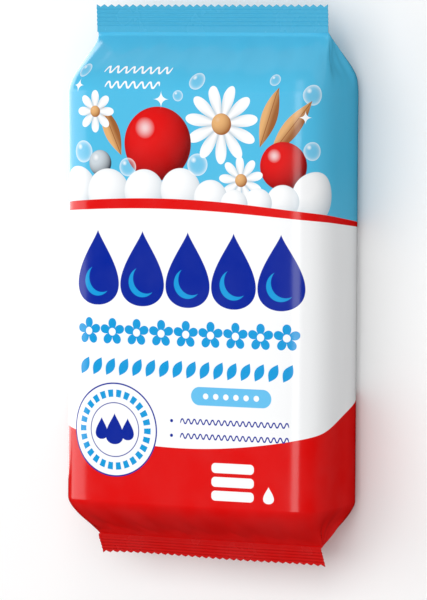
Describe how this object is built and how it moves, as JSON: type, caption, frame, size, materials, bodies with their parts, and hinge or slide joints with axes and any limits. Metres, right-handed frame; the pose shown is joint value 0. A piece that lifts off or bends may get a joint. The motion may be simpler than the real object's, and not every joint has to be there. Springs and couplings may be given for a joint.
{
  "type": "wet wipes pack",
  "caption": "Sealed soft film pack of wet wipes with rounded sides, two crimped zigzag end seals and a lengthwise fin seal folded flat on its back.",
  "frame": {"origin": "middle of the pack's footprint, at the level of its flat back", "axes": "+X across the pack, +Y along it towards the top end seal, +Z out of the printed front"},
  "size_m": [0.156, 0.305, 0.073],
  "materials": {
    "printed_film": "satin printed film"
  },
  "bodies": {
    "root": {"film_pack": "printed_film"}
  },
  "joints": []
}
